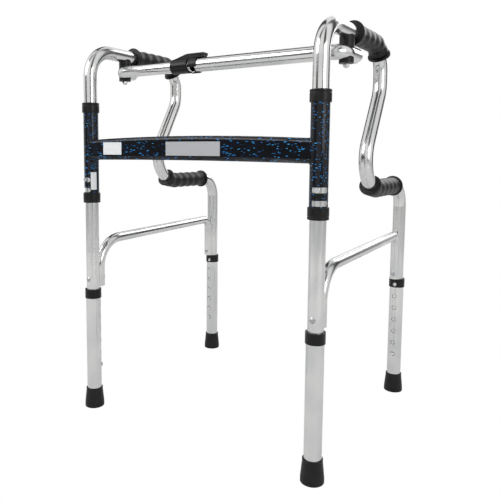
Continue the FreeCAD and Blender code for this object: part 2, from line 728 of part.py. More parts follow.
def saddles(side):
    """Saddle blocks on the pivot: under the handle, on the bar and below the bar."""
    x = SIDES[side] * size("frame_width") / 2
    place = size("pivot_reach")
    radius, gap, wrap = size("saddle_dia") / 2, size("pivot_gap") / 2, size("saddle_wrap")
    handle_low = size("handle_height") - size("tube_od") / 2
    bar_radius = size(side + "_bar_od") / 2
    meet = pivot_height(side)
    handle = along_route(side_route(x), size("tube_od") / 2)
    bar = along_route(bar_route(side), bar_radius)
    bore = round_bar((x, place, 0), (0, 0, 1), size("bolt_dia") / 2 + size("bolt_fit"),
                     size("handle_height"))
    insert = round_bar((x, place, handle_low - 1), (0, 0, 1), size("insert_dia") / 2, 20)
    low = bar_height() - bar_radius
    for name, bottom, top, tools in (
        ("handle_saddle", meet + gap, handle_low + wrap, [handle, bore, insert]),
        ("bar_saddle", bar_height() + bar_radius - wrap, meet - gap, [bar, bore]),
        ("washer_saddle", low - size("saddle_base"), low + wrap, [bar, bore]),
    ):
        solid = round_bar((x, place, bottom), (0, 0, 1), radius, top - bottom).cut(tools)
        node(f"{side}_{name}", shaped(name, largest(solid)))


def largest(shape):
    """The biggest solid of a shape."""
    return max(shape.Solids, key=lambda solid: solid.Volume)


def pivot_bolt(side):
    """Domed bolt screwed up into a threaded insert in the handle tube."""
    x = f"{SIDES[side]} * frame_width / 2"
    under = f"(handle_height - bar_drop - {side}_bar_od / 2 - saddle_base - pivot_gap / 2)"
    insert_base = "handle_height - tube_od / 2"
    shank = rod("bolt_dia / 2", f"{insert_base} + insert_length - {under}", x, "pivot_reach",
                under)
    rim = rod("dome_dia / 2", "dome_height * 0.45", x, "pivot_reach",
              f"{under} - dome_height * 0.45")
    dome = cone("dome_dia / 4.4", "dome_dia / 2", "dome_height * 0.55", x, "pivot_reach",
                f"{under} - dome_height")
    node(side + "_pivot_bolt", join(shank, rim, dome))
    sleeve_part = cut(
        rod("insert_dia / 2", "insert_length", x, "pivot_reach", insert_base),
        rod("bolt_dia / 2", "insert_length", x, "pivot_reach", insert_base),
    )
    node(side + "_insert", sleeve_part)


def bar_plug(side):
    """Plastic plug in the open end of a bar's short leg."""
    x = f"{SIDES[side]} * frame_width / 2"
    tail, od = f"{side}_bar_tail", f"{side}_bar_od"
    height = "handle_height - bar_drop"
    stem = rod(f"{od} / 2 - bar_wall", "plug_depth", x, f"{tail} - plug_depth", height, "Y")
    cap = cone(f"{od} / 2", f"{od} / 2 - 2", "plug_dome", x, tail, height, "Y")
    node(side + "_bar_plug", join(stem, cap))


def clip():
    """Clip on the left half: a sleeve, and an arm with a finger tab over the right half."""
    reach, height = size("bar_reach"), bar_height()
    left, right = -size("clip_left"), -size("clip_right")
    under = size("right_bar_od") / 2 + size("clip_gap")
    rise, width = size("clip_rise"), size("clip_width")
    bore = size("left_bar_od") / 2
    outer = size("clip_od") / 2
    tab = -size("clip_tab")
    sleeve_part = round_bar((left, reach, height), (1, 0, 0), outer, right - left)
    flank = [
        (left + 4, outer - 6),
        (left + 4, outer - 1),
        (right - 6, rise - 1),
        (right, rise),
        (tab - 1.5, rise),
        (tab, rise - 1.5),
        (tab, rise - 4),
        (tab - 4, under),
        (right, under),
        (right, outer - 6),
    ]
    points = [FreeCAD.Vector(x, reach - width / 2, height + z) for x, z in flank]
    arm = Part.Face(Part.makePolygon(points + points[:1])).extrude(FreeCAD.Vector(0, width, 0))
    teeth = [
        Part.makeBox(1.2, width, 1.2, FreeCAD.Vector(tab - 3.5 - 3 * i, reach - width / 2,
                                                     height + rise - 0.8))
        for i in range(4)
    ]
    pins = [
        round_bar((tab - 8 - 5 * i, reach - width, height + rise - 4), (0, 1, 0), 1.1, 2 * width)
        for i in range(2)
    ]
    solid = sleeve_part.fuse(arm)
    hollow = round_bar((left, reach, height), (1, 0, 0), bore, right - left)
    node("bar_clip", shaped("bar_clip", solid.cut([hollow] + teeth + pins).removeSplitter()))


def clip_jaw():
    """Springy C-shaped jaw of the clip that snaps round the right half's end."""
    reach, height = size("bar_reach"), bar_height()
    left, length = -size("jaw_left"), size("jaw_left") - size("jaw_right")
    inner = size("right_bar_od") / 2 + size("jaw_fit")
    start = FreeCAD.Vector(left, reach, height)
    heading = FreeCAD.Vector(1, 0, 0)
    ring = Part.makeCylinder(inner + size("jaw_wall"), length, start, heading)
    ring = ring.cut(Part.makeCylinder(inner, length, start, heading))
    mouth = Part.makeCylinder(3 * inner, length, FreeCAD.Vector(), Z_AXIS, size("jaw_mouth"))
    mouth.rotate(FreeCAD.Vector(), FreeCAD.Vector(0, 1, 0), 90)
    mouth.rotate(FreeCAD.Vector(), FreeCAD.Vector(1, 0, 0), -size("jaw_mouth"))
    mouth.translate(start)
    width = size("clip_width")
    top = height + size("right_bar_od") / 2 + size("clip_gap")
    roof = Part.makeBox(length, width, 20, FreeCAD.Vector(left, reach - width / 2, top))
    node("clip_jaw", shaped("clip_jaw", largest(ring.cut([mouth, roof]))))


def check_and_write():
    """Every sub-part has to be sound before any file is written."""
    doc.recompute()
    for thing in doc.Objects:
        if {"Invalid", "Error"} & set(thing.State):
            raise RuntimeError(f"{thing.Name} failed: {thing.State}")
    for thing in nodes:
        shape = thing.Shape
        if shape.isNull() or not shape.isValid() or not shape.Solids:
            raise RuntimeError(f"{thing.Label} has no sound shape")
    os.makedirs("parts", exist_ok=True)
    for thing in nodes:
        thing.Shape.exportStep(f"parts/{thing.Label}.step")
        solids = thing.Shape.Solids
        volume = sum(solid.Volume for solid in solids)
        print(f"{thing.Label}: {len(solids)} solid, {volume:.0f} mm3")


cross_beam()
labels()
for side in SIDES:
    sleeve(side)
    bushes(side)
    side_tube(side)
    brace(side)
    brace_plugs(side)
    rivets(side)
    grips(side)
    stop_screw(side)
    legs(side)
    bar_tube(side)
    saddles(side)
    pivot_bolt(side)
    bar_plug(side)
clip()
clip_jaw()
check_and_write()
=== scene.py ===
"""Walking frame: the looks of its tubes, mouldings, grips and feet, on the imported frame."""

import json
import math

import bpy
from mathutils import Matrix, Vector


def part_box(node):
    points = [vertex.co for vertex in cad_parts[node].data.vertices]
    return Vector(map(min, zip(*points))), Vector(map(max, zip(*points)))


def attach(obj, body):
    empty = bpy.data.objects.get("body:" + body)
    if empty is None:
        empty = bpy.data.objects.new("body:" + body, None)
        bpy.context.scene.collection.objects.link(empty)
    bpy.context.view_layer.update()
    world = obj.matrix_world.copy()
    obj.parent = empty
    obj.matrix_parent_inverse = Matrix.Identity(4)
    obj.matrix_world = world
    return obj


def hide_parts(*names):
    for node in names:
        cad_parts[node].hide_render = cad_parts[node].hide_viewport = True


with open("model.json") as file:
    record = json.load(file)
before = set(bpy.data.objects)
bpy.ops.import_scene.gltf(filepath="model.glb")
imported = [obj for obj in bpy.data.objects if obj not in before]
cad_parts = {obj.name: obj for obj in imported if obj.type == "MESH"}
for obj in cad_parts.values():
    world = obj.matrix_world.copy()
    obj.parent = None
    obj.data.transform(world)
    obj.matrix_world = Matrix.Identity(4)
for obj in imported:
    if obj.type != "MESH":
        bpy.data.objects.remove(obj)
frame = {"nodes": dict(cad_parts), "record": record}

bl_info = {
    "name": "Walking frame",
    "version": (1, 0, 0),
    "blender": (4, 2, 0),
    "location": "3D View > Sidebar > Walking frame",
    "description": "Finishes the walking frame: painted beam, polished tube, grips and rubber",
    "category": "Object",
}

MM = 0.001
SIDES = {"left": -1, "right": 1}

# Driving sizes and places, in millimetres.
HALF_WIDTH = 240.0  # from the middle to an upright's axis
FRONT = -212.5  # the uprights' axis along Y
LEG_AXES = {"front": FRONT, "rear": -FRONT}
SLEEVE_RADIUS = 14.3  # outside
LEG_RADIUS = 14.3  # outside
ON_TUBE = 12.76  # inside radius of what is pushed onto a side tube
ON_LEG = 14.32  # inside radius of what is pushed onto a leg
BUSH_BASES = {"upper": 590.0, "lower": 415.0}
BUSH_HEIGHT = 19
BEAM_HEIGHT = 518  # middle of the cross beam's end
LOW_BEND_RADIUS = 56.0  # of the elbow in front of the lower handle
LOW_BEND_SWEEP = 33.0  # degrees of that elbow under the grip


# ---- small helpers ----


def srgb(code):
    """An sRGB hex colour as linear RGBA."""
    channels = [int(code[i : i + 2], 16) / 255 for i in (0, 2, 4)]
    linear = [c / 12.92 if c <= 0.04045 else ((c + 0.055) / 1.055) ** 2.4 for c in channels]
    return (*linear, 1.0)


class Tree:
    """A node tree that is written down as calls."""

    def __init__(self, tree):
        self.tree = tree
        tree.nodes.clear()

    def add(self, kind, inputs=(), **settings):
        """Adds a node with its settings, and feeds its inputs in order or by name.

        A node stands for the first of its outputs that is in use. Outputs are linked, and
        anything else is set as a constant.
        """
        node = self.tree.nodes.new(kind)
        for name, value in settings.items():
            setattr(node, name, value)
        for key, value in inputs.items() if isinstance(inputs, dict) else enumerate(inputs):
            if isinstance(value, bpy.types.Node):
                value = next(output for output in value.outputs if output.enabled)
            if isinstance(value, bpy.types.NodeSocket):
                self.tree.links.new(value, node.inputs[key])
            else:
                node.inputs[key].default_value = value
        return node


# settings of the nodes that the finishes use most: a smooth step and a mix of two colours
SMOOTH = {"interpolation_type": "SMOOTHSTEP"}
COLOURS = {"data_type": "RGBA"}


def features(place, size_mm, detail=2.0):
    """Inputs of a noise whose features are about size_mm across."""
    return {"Vector": place, "Scale": 1 / (size_mm * MM), "Detail": detail}


def relief(height, depth_mm, strength):
    """Inputs of a bump that is depth_mm deep."""
    return {"Strength": strength, "Distance": depth_mm * MM, "Height": height}


def material(name, paint):
    """A material whose paint function gives the inputs of a Principled shader."""
    made = bpy.data.materials.new(name)
    made.use_nodes = True
    tree = Tree(made.node_tree)
    place = tree.add("ShaderNodeTexCoord").outputs["Object"]
    shader = tree.add("ShaderNodeBsdfPrincipled", paint(tree, place))
    tree.add("ShaderNodeOutputMaterial", {"Surface": shader})
    return made


# ---- finishes ----


def polished_tube(tree, place):
    """Bright-dipped, clear-anodised aluminium tube: a soft mirror, a little cloudy in places."""
    own = bpy.context.scene.walker_colours
    cloud = tree.add("ShaderNodeTexNoise", features(place, 60))
    scuffs = tree.add("ShaderNodeTexNoise", features(place, 9, 3.0))
    dull = tree.add("ShaderNodeMapRange", (cloud, 0.3, 0.7, 0.15, 0.22), **SMOOTH)
    scuffed = tree.add("ShaderNodeMapRange", (scuffs, 0.45, 0.75, 0.0, 0.03), **SMOOTH)
    rough = tree.add("ShaderNodeMath", (dull, scuffed), operation="ADD")
    share = tree.add("ShaderNodeMapRange", (cloud, 0.35, 0.65), **SMOOTH)
    tone = tree.add(
        "ShaderNodeMix", {"Factor": share, "A": own.tube, "B": own.tube_cloud}, **COLOURS)
    return {"Base Color": tone, "Metallic": 1.0, "Roughness": rough}


def flecks(tree, place, turn, length_mm, width_mm, share):
    """Long paint flecks: stretched cells, of which only a share is coloured."""
    narrow = 1 / (width_mm * MM)
    mapped = tree.add("ShaderNodeMapping", {
        "Vector": place,
        "Rotation": [math.radians(a) for a in turn],
        "Scale": (1 / (length_mm * MM), narrow, narrow),
    })
    # the mapped space is in cells, so 1000 here stands for one cell
    warp = tree.add("ShaderNodeTexNoise", features(mapped, 1000 * 1.4, 1.0))
    shifted = tree.add("ShaderNodeVectorMath", (mapped, warp), operation="ADD")
    cells = tree.add("ShaderNodeTexVoronoi", {"Vector": shifted, "Scale": 1.0})
    pick = tree.add("ShaderNodeSeparateColor", (cells.outputs["Color"],))
    chosen = tree.add("ShaderNodeMath", (pick, 1 - share), operation="GREATER_THAN")
    distance = cells.outputs["Distance"]
    core = tree.add("ShaderNodeMapRange", (distance, 0.26, 0.40, 1.0, 0.0), **SMOOTH)
    shown = tree.add("ShaderNodeMath", (chosen, core), operation="MULTIPLY")
    return shown, pick.outputs[1]


def fleck_paint(tree, place):
    """Near-black navy lacquer with azure flecks under a clear gloss coat.

    Three crossing layers of flecks, each with its own length and share of the surface.
    """
    own = bpy.context.scene.walker_colours
    first, shade = flecks(tree, place, (0, 22, 10), 9.0, 2.2, 0.14)
    second, other = flecks(tree, place, (10, -38, 0), 6.5, 1.7, 0.12)
    third, _ = flecks(tree, place, (0, 75, 20), 4.5, 1.4, 0.06)
    blue = {"Factor": shade, "A": srgb("12518f"), "B": own.fleck}
    glint = {"Factor": other, "A": srgb("1565b0"), "B": srgb("4db4f2")}
    clouds = tree.add("ShaderNodeTexNoise", features(place, 14))
    patches = tree.add("ShaderNodeMapRange", (clouds, 0.4, 0.7), **SMOOTH)
    ground = {"Factor": patches, "A": own.lacquer, "B": srgb("070d1c")}
    blue, glint, tone = (
        tree.add("ShaderNodeMix", inputs, **COLOURS) for inputs in (blue, glint, ground))
    for layer, paint in ((first, blue), (second, glint), (third, srgb("2a86cf"))):
        tone = tree.add("ShaderNodeMix", {"Factor": layer, "A": tone, "B": paint}, **COLOURS)
    ripples = tree.add("ShaderNodeTexNoise", features(place, 3.0, 1.0))
    peel = tree.add("ShaderNodeBump", relief(ripples, 0.02, 0.3))
    return {"Base Color": tone, "Roughness": 0.35, "Specular IOR Level": 0.15,
            "Coat Weight": 0.4, "Coat Roughness": 0.06, "Normal": peel}


def moulding(dark, light, rough, grain_mm, depth_mm):
    """Moulded plastic or rubber with a fine spark-eroded grain."""

    def paint(tree, place):
        grain = tree.add("ShaderNodeTexNoise", features(place, grain_mm))
        wear = tree.add("ShaderNodeTexNoise", features(place, 25))
        share = tree.add("ShaderNodeMapRange", (wear, 0.35, 0.7), **SMOOTH)
        tone = tree.add(
            "ShaderNodeMix", {"Factor": share, "A": srgb(dark), "B": srgb(light)}, **COLOURS)
        dull = tree.add("ShaderNodeMapRange", (wear, 0.3, 0.7, rough, rough + 0.08), **SMOOTH)
        skin = tree.add("ShaderNodeBump", relief(grain, depth_mm, 0.5))
        return {"Base Color": tone, "Roughness": dull, "Specular IOR Level": 0.3, "Normal": skin}

    return paint


def grip_rubber(tree, place):
    """Soft grip rubber: a dull black skin of small pebbles, with painted shade darkening the gaps
    between them.
    """
    pebble_mm = 2.6
    cells = tree.add("ShaderNodeTexVoronoi", {"Vector": place, "Scale": 1 / (pebble_mm * MM)})
    distance = cells.outputs["Distance"]
    pebble = tree.add("ShaderNodeMapRange", (distance, 0.1, 0.7, 1.0, 0.0), **SMOOTH)
    # painted shade: the pebble tops a shade lighter and the gaps between them darker, following
    # the bump
    tone = tree.add(
        "ShaderNodeMix", {"Factor": pebble, "A": srgb("060607"), "B": srgb("0f0f10")}, **COLOURS)
    skin = tree.add("ShaderNodeBump", relief(pebble, 0.25, 0.6))
    return {"Base Color": tone, "Roughness": 0.4, "Specular IOR Level": 0.3, "Normal": skin}


def plain_metal(code, rough, grain_mm):
    """Plated or drawn metal."""

    def paint(tree, place):
        grain = tree.add("ShaderNodeTexNoise", features(place, grain_mm))
        dull = tree.add("ShaderNodeMapRange", (grain, 0.3, 0.7, rough, rough + 0.08), **SMOOTH)
        return {"Base Color": srgb(code), "Metallic": 1.0, "Roughness": dull}

    return paint


def print_free(code, rough):
    """A blank plate or label: an even tone with a faint paper or satin grain."""

    def paint(tree, place):
        grain = tree.add("ShaderNodeTexNoise", features(place, 0.8))
        share = tree.add("ShaderNodeMapRange", (grain, 0.3, 0.7, 0.0, 0.08), **SMOOTH)
        tone = tree.add(
            "ShaderNodeMix", {"Factor": share, "A": srgb(code), "B": srgb("8c8f94")}, **COLOURS)
        skin = tree.add("ShaderNodeBump", relief(grain, 0.01, 0.2))
        return {"Base Color": tone, "Roughness": rough, "Normal": skin}

    return paint


FINISHES = {
    "polished_tube": polished_tube,
    "fleck_paint": fleck_paint,
    # nylon bushes, collars and clip, satin black
    "black_moulding": moulding("060607", "0d0d0e", 0.3, 0.7, 0.03),
    # vulcanised rubber feet, duller than the mouldings
    "foot_rubber": moulding("0a0a0b", "131314", 0.42, 1.2, 0.06),
    "grip_rubber": grip_rubber,
    # zinc-plated bolts and buttons, the sharpest shine
    "bright_steel": plain_metal("dfe0e2", 0.14, 4.0),
    # hardened leaf spring, mid grey
    "spring_steel": plain_metal("8f9194", 0.3, 1.0),
    # aluminium rivets, a soft pale shine
    "rivet_metal": plain_metal("b4b6ba", 0.3, 2.0),
    # dark drilled edges round the height holes: painted shade that stands in for the shadow inside
    # the holes
    "painted_hole_shade": plain_metal("34363a", 0.45, 1.5),
    # moulded plugs, off-white
    "white_plug": moulding("dededa", "ebebe8", 0.4, 1.0, 0.02),
    # blank satin plate and blank paper labels
    "plate_grey": print_free("b1b3b6", 0.45),
    "label_pale": print_free("e8eaec", 0.6),
}


def finish_of(name):
    """The finish of a slot, made once."""
    own = "finish of " + name
    return bpy.data.materials.get(own) or material(own, FINISHES[name])


# ---- building pieces ----


def piece(name, mesh, slot_name, body, *nodes):
    """Puts a finished mesh into the scene, on its body, for the CAD nodes it stands for."""
    obj = bpy.data.objects.new(name, mesh)
    bpy.context.scene.collection.objects.link(obj)
    if not mesh.materials:
        mesh.materials.append(finish_of(slot_name))
    mesh.polygons.foreach_set("use_smooth", [True] * len(mesh.polygons))
    mesh.set_sharp_from_angle(angle=math.radians(38))
    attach(obj, body)
    if nodes:
        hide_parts(*nodes)
    return obj


def lathe(name, outline, centre, segments=96):
    """A turned mesh from (radius, height) points in millimetres; closed if the outline is."""
    verts, faces = [], []
    x, y = centre
    for radius, height in outline:
        for k in range(segments):
            turn = 2 * math.pi * k / segments
            verts.append((
                (x + radius * math.cos(turn)) * MM,
                (y + radius * math.sin(turn)) * MM,
                height * MM,
            ))
    count = len(outline)
    closed = outline[0] == outline[-1]
    if closed:
        count -= 1
        verts = verts[: count * segments]
    for row in range(count if closed else count - 1):
        low, high = row * segments, (row + 1) % count * segments
        for k in range(segments):
            after = (k + 1) % segments
            faces.append((low + k, low + after, high + after, high + k))
    if not closed:
        faces.append(tuple(reversed(range(segments))))
        faces.append(tuple(range((count - 1) * segments, count * segments)))
    mesh = bpy.data.meshes.new(name)
    mesh.from_pydata(verts, [], faces)
    mesh.validate()
    return mesh


def together(name, meshes):
    """Several meshes as one."""
    verts, faces = [], []
    for mesh in meshes:
        first = len(verts)
        verts += [tuple(v.co) for v in mesh.vertices]
        faces += [tuple(first + i for i in face.vertices) for face in mesh.polygons]
        bpy.data.meshes.remove(mesh)
    made = bpy.data.meshes.new(name)
    made.from_pydata(verts, [], faces)
    return made


def rounded(points, radius, steps=5):
    """An outline with its corners rounded; a point's own third number is its radius."""
    made = []
    for i, point in enumerate(points):
        here = Vector(point[:2])
        size = point[2] if len(point) > 2 else radius
        if i in (0, len(points) - 1) or size == 0:
            made.append(tuple(here))
            continue
        before, after = Vector(points[i - 1][:2]), Vector(points[i + 1][:2])
        reach = min(size, (before - here).length / 2, (after - here).length / 2)
        first = here + (before - here).normalized() * reach
        last = here + (after - here).normalized() * reach
        for k in range(steps + 1):
            t = k / steps
            spot = first.lerp(here, t).lerp(here.lerp(last, t), t)
            made.append(tuple(spot))
    return made


def sweep_group(name, slot_name):
    """A Geometry Nodes group that sweeps a ring of the point's own radius along the path.

    Its inputs are the ring's points and a row's count and pitch upwards, in metres.
    """
    group = bpy.data.node_groups.new(name, "GeometryNodeTree")
    for title, kind in (("Geometry", "Geometry"), ("Around", "Int"), ("Count", "Int"),
                        ("Pitch", "Float")):
        group.interface.new_socket(title, in_out="INPUT", socket_type="NodeSocket" + kind)
    group.interface.new_socket("Geometry", in_out="OUTPUT", socket_type="NodeSocketGeometry")
    tree = Tree(group)
    given = tree.add("NodeGroupInput")
    radius = tree.add(
        "GeometryNodeInputNamedAttribute", {"Name": "radius_here"}, data_type="FLOAT")
    curve = tree.add("GeometryNodeMeshToCurve", {"Mesh": given.outputs["Geometry"]})
    sized = tree.add("GeometryNodeSetCurveRadius", {"Curve": curve, "Radius": radius})
    ring = tree.add(
        "GeometryNodeCurvePrimitiveCircle",
        {"Resolution": given.outputs["Around"], "Radius": 1.0})
    tube = tree.add("GeometryNodeCurveToMesh", {"Curve": sized, "Profile Curve": ring})
    # later versions of Curve to Mesh take the size from this input, not from the curve
    if "Scale" in tube.inputs:
        group.links.new(radius.outputs[0], tube.inputs["Scale"])
    offset = tree.add("ShaderNodeCombineXYZ", {"Z": given.outputs["Pitch"]})
    row = tree.add(
        "GeometryNodeMeshLine", {"Count": given.outputs["Count"], "Offset": offset})
    copies = tree.add("GeometryNodeInstanceOnPoints", {"Points": row, "Instance": tube})
    real = tree.add("GeometryNodeRealizeInstances", (copies,))
    painted = tree.add(
        "GeometryNodeSetMaterial", {"Geometry": real, "Material": finish_of(slot_name)})
    tree.add("NodeGroupOutput", (painted,))
    return group


def swept(name, path, radii, slot_name, closed=False, around=48, count=1, pitch=0.0):
    """Sweeps a ring along a path of points in millimetres, as a plain mesh, or a row of them."""
    mesh = bpy.data.meshes.new(name + "_path")
    links = [(i, i + 1) for i in range(len(path) - 1)]
    if closed:
        links.append((len(path) - 1, 0))
    mesh.from_pydata([Vector(p) * MM for p in path], links, [])
    own = mesh.attributes.new("radius_here", "FLOAT", "POINT")
    own.data.foreach_set("value", [r * MM for r in radii])
    guide = bpy.data.objects.new(name + "_guide", mesh)
    bpy.context.scene.collection.objects.link(guide)
    modifier = guide.modifiers.new("sweep", "NODES")
    group = modifier.node_group = sweep_group(name + "_sweep", slot_name)
    sizes = {"Around": around, "Count": count, "Pitch": pitch * MM}
    for socket in group.interface.items_tree:
        if socket.name in sizes:
            modifier[socket.identifier] = sizes[socket.name]
    bpy.context.view_layer.update()
    graph = bpy.context.evaluated_depsgraph_get()
    result = bpy.data.meshes.new_from_object(guide.evaluated_get(graph))
    bpy.data.objects.remove(guide)
    bpy.data.meshes.remove(mesh)
    bpy.data.node_groups.remove(group)
    result.name = name
    return result


def walk(path, step):
    """Evenly spaced points along a polyline, with each one's distance from the start."""
    made, travelled = [(Vector(path[0]), 0.0)], 0.0
    for a, b in zip(path, path[1:]):
        a, b = Vector(a), Vector(b)
        count = max(1, round((b - a).length / step))
        for k in range(1, count + 1):
            made.append((a.lerp(b, k / count), travelled + (b - a).length * k / count))
        travelled += (b - a).length
    return made, travelled


# ---- the walking frame's own pieces ----


def bush(side, end):
    """Bearing cap with rounded edges and a shallow groove; the lower one is upside down."""
    outer, groove, seat = 16.5, 16.1, 16
    outline = rounded([
        (SLEEVE_RADIUS, 3), (SLEEVE_RADIUS, 0), (outer, 0, 0.9), (outer, 13.4, 0.3),
        (groove, 13.9, 0.3), (groove, 14.9, 0.3), (outer, 15.4, 0.3), (outer, BUSH_HEIGHT, 1.6),
        (ON_TUBE, BUSH_HEIGHT, 0.5), (ON_TUBE, seat), (SLEEVE_RADIUS, seat), (SLEEVE_RADIUS, 3),
    ], 0.4)
    if end == "lower":
        outline = [(r, BUSH_HEIGHT - h) for r, h in reversed(outline)]
    outline = [(r, BUSH_BASES[end] + h) for r, h in outline]
    centre = (SIDES[side] * HALF_WIDTH, FRONT)
    node = f"{side}_{end}_bush"
    piece(node + "_cap", lathe(node + "_cap", outline, centre), "black_moulding", "h_frame", node)


def acorn_bolt(side):
    """Pivot bolt: its shank, and the chamfered hexagon and dome under the bar."""
    low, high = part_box(side + "_pivot_bolt")
    centre = (SIDES[side] * HALF_WIDTH, (low.y + high.y) / 2 / MM)
    flats, dome_height, dome_radius, tip, corner, shank = 3.5, 4.0, 4.9, 0.05, 5.7, 3.0
    seat, top = low.z / MM + flats + dome_height, high.z / MM
    turns = [math.radians(9 * k) for k in range(11)]
    dome = [
        (dome_radius * math.sin(t) + tip, seat - flats - dome_height * math.cos(t)) for t in turns]
    hexagon = [(4.9, seat - 3.7), (corner, seat - 3.1), (corner, seat - 0.5), (5.2, seat)]
    name = side + "_pivot_bolt"
    parts = [
        lathe(name + "_dome", dome, centre, 48),
        lathe(name + "_hexagon", hexagon, centre, 6),
        lathe(name + "_shank", [(shank, seat), (shank, top)], centre, 32),
    ]
    mesh = together(name + "_acorn", parts)
    piece(name + "_acorn", mesh, "bright_steel", side + "_side", name)


def foot_outline(depth):
    """Half section of a rubber foot: ringed sole, ribbed band, taper and rolled rim."""
    sole = [(0.4, depth), (5, depth), (5, 0), (8, 0), (8, depth), (11, depth), (11, 0), (14, 0),
            (14, depth), (16, depth), (16, 0)]
    outer, rim, top, floor = 19, 16.4, 39, 5
    wall = [(outer, 0, 2.2), (outer, 3.1, 0.3), (18.6, 3.6, 0.3), (18.6, 4.2, 0.3),
            (outer, 4.7, 0.3), (outer, 7.5, 3.0), (16.2, 35.2, 0.8), (rim, 36.4, 0.6),
            (rim, top, 1.2), (ON_LEG, top), (ON_LEG, floor), (0.4, floor)]
    return rounded(sole + wall, 0.25)


def grip_radii(points, length, own):
    """A grip's radius along its path: rolled flanges, a waist behind each, finger waves."""
    flange, roll, flange_end, waist, waist_end = 20.3, 1.4, 6.0, 1.2, 11.0
    radii = []
    for _, s in points:
        edge = min(s, length - s)
        if edge < flange_end:
            t = abs(edge - flange_end / 2) / (flange_end / 2)
            radii.append(flange - roll * t**4)
        elif edge < waist_end:
            share = (edge - flange_end) / (waist_end - flange_end)
            radii.append(own.grip_body - waist + waist * share)
        else:
            turn = (s - waist_end) / (length - 2 * waist_end) * own.fingers
            wave = 0.5 - 0.5 * math.cos(2 * math.pi * turn)
            radii.append(own.grip_body - own.finger_dip * wave)
    # both ends close onto the tube
    radii[0] = radii[-1] = ON_TUBE
    return radii


def bend(back, up, radius, turns):
    """Points on a bend round a centre; a negative radius is a bend that hangs below it."""
    return [(back + radius * math.sin(turn), up + radius * math.cos(turn)) for turn in turns]


def grip_path(side, which):
    """Middle line of a grip, from its front end to its rear end."""
    if which == "top_grip":
        # level from the front, then down round the handle's rear bend
        handle, centre, radius, sweep, steps = 711.0, 222.0, 48.0, 54.0, 18
        turns = [math.radians(sweep * k / steps) for k in range(steps + 1)]
        flat = [(120.0, handle)] + bend(centre, handle - radius, radius, turns)
    else:
        # down round the elbow, then level to the rear
        handle, radius, sweep, steps = 449.0, LOW_BEND_RADIUS, LOW_BEND_SWEEP, 12
        turns = [math.radians(sweep * (1 - k / steps)) for k in range(steps + 1)]
        flat = bend(low_bend_centre(), handle + radius, -radius, turns) + [(374.0, handle)]
    return [(SIDES[side] * HALF_WIDTH, FRONT + back, up) for back, up in flat]


def low_bend_centre():
    """How far behind the upright the lower handle becomes level, found from its CAD node."""
    low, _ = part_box("left_low_grip")
    flange_radius = 20.5
    reach = (LOW_BEND_RADIUS + flange_radius) * math.sin(math.radians(LOW_BEND_SWEEP))
    return low.y / MM - FRONT + reach


class WalkerSettings(bpy.types.PropertyGroup):
    """Sizes of the detailed pieces, in millimetres"""

    grip_body: bpy.props.FloatProperty(
        name="Grip radius (mm)", description="Radius of a grip at the crests of its waves",
        default=17.4, min=14, max=17.5)
    finger_dip: bpy.props.FloatProperty(
        name="Finger dip (mm)", description="Depth of each finger wave",
        default=1.3, min=0, max=2)
    fingers: bpy.props.IntProperty(
        name="Finger waves", description="How many waves a grip has along its length",
        default=5, min=1, max=8)
    tread_depth: bpy.props.FloatProperty(
        name="Tread depth (mm)", description="Depth of the rings in a foot's sole",
        default=1.2, min=0.2, max=2)
    weld_radius: bpy.props.FloatProperty(
        name="Weld radius (mm)", description="Radius of the bead round the beam's ends",
        default=1.3, min=0.5, max=2)


def colour(name, description, code):
    """A colour setting that starts from an sRGB hex value."""
    return bpy.props.FloatVectorProperty(
        name=name, description=description, subtype="COLOR", size=4,
        min=0, max=1, default=srgb(code))


class ColourSettings(bpy.types.PropertyGroup):
    """Colours of the tubes and the paintwork"""

    tube: colour("Tube", "Clear-anodised aluminium", "dfdfde")
    tube_cloud: colour("Tube cloud", "Its slightly duller patches", "d3d4d4")
    lacquer: colour("Lacquer", "Ground of the painted beam and sleeves", "030407")
    fleck: colour("Fleck", "Brightest of the long flecks in the lacquer", "2f9be6")


class StudioSettings(bpy.types.PropertyGroup):
    """Strengths of the lights"""

    key_power: bpy.props.FloatProperty(
        name="Key light (W)", description="Large light from the front left",
        default=26, min=0)
    fill_power: bpy.props.FloatProperty(
        name="Fill light (W)", description="Weaker light from the front right",
        default=12, min=0)
    back_power: bpy.props.FloatProperty(
        name="Back light (W)", description="Light from behind, for the tubes' edges",
        default=16, min=0)
    surround: bpy.props.FloatProperty(
        name="Surround", description="Brightness of the room that the metal mirrors",
        default=0.95, min=0, max=2)


class WALKER_OT_finishes(bpy.types.Operator):
    """Gives every CAD sub-part the finish of its slot"""

    bl_idname = "walker.finishes"
    bl_label = "Finishes"

    def execute(self, context):
        for sub in frame["record"]["subparts"]:
            node = frame["nodes"][sub["node"]]
            for holder in node.material_slots:
                holder.material = finish_of(sub["material_slot"])
        return {"FINISHED"}


class WALKER_OT_bushes(bpy.types.Operator):
    """Builds the rounded bearing caps on the hinge sleeves"""

    bl_idname = "walker.bushes"
    bl_label = "Hinge bushes"

    def execute(self, context):
        for side in SIDES:
            for end in BUSH_BASES:
                bush(side, end)
        return {"FINISHED"}


class WALKER_OT_pivots(bpy.types.Operator):
    """Builds the acorn-headed bolts that the top bar hangs on"""

    bl_idname = "walker.pivots"
    bl_label = "Pivot bolts"

    def execute(self, context):
        for side in SIDES:
            acorn_bolt(side)
        return {"FINISHED"}


def beam_section():
    """Outline of the beam's end, as points across and up from its middle."""
    half_depth, half_height, corner, steps = 13.0, 19.0, 7.0, 8
    outline = []
    for quarter, (sy, sz) in enumerate(((1, 1), (-1, 1), (-1, -1), (1, -1))):
        for k in range(steps + 1):
            turn = math.pi / 2 * (quarter + k / steps)
            y = sy * (half_depth - corner) + corner * math.cos(turn)
            outline.append((0, y, sz * (half_height - corner) + corner * math.sin(turn)))
    return outline + outline[:1]


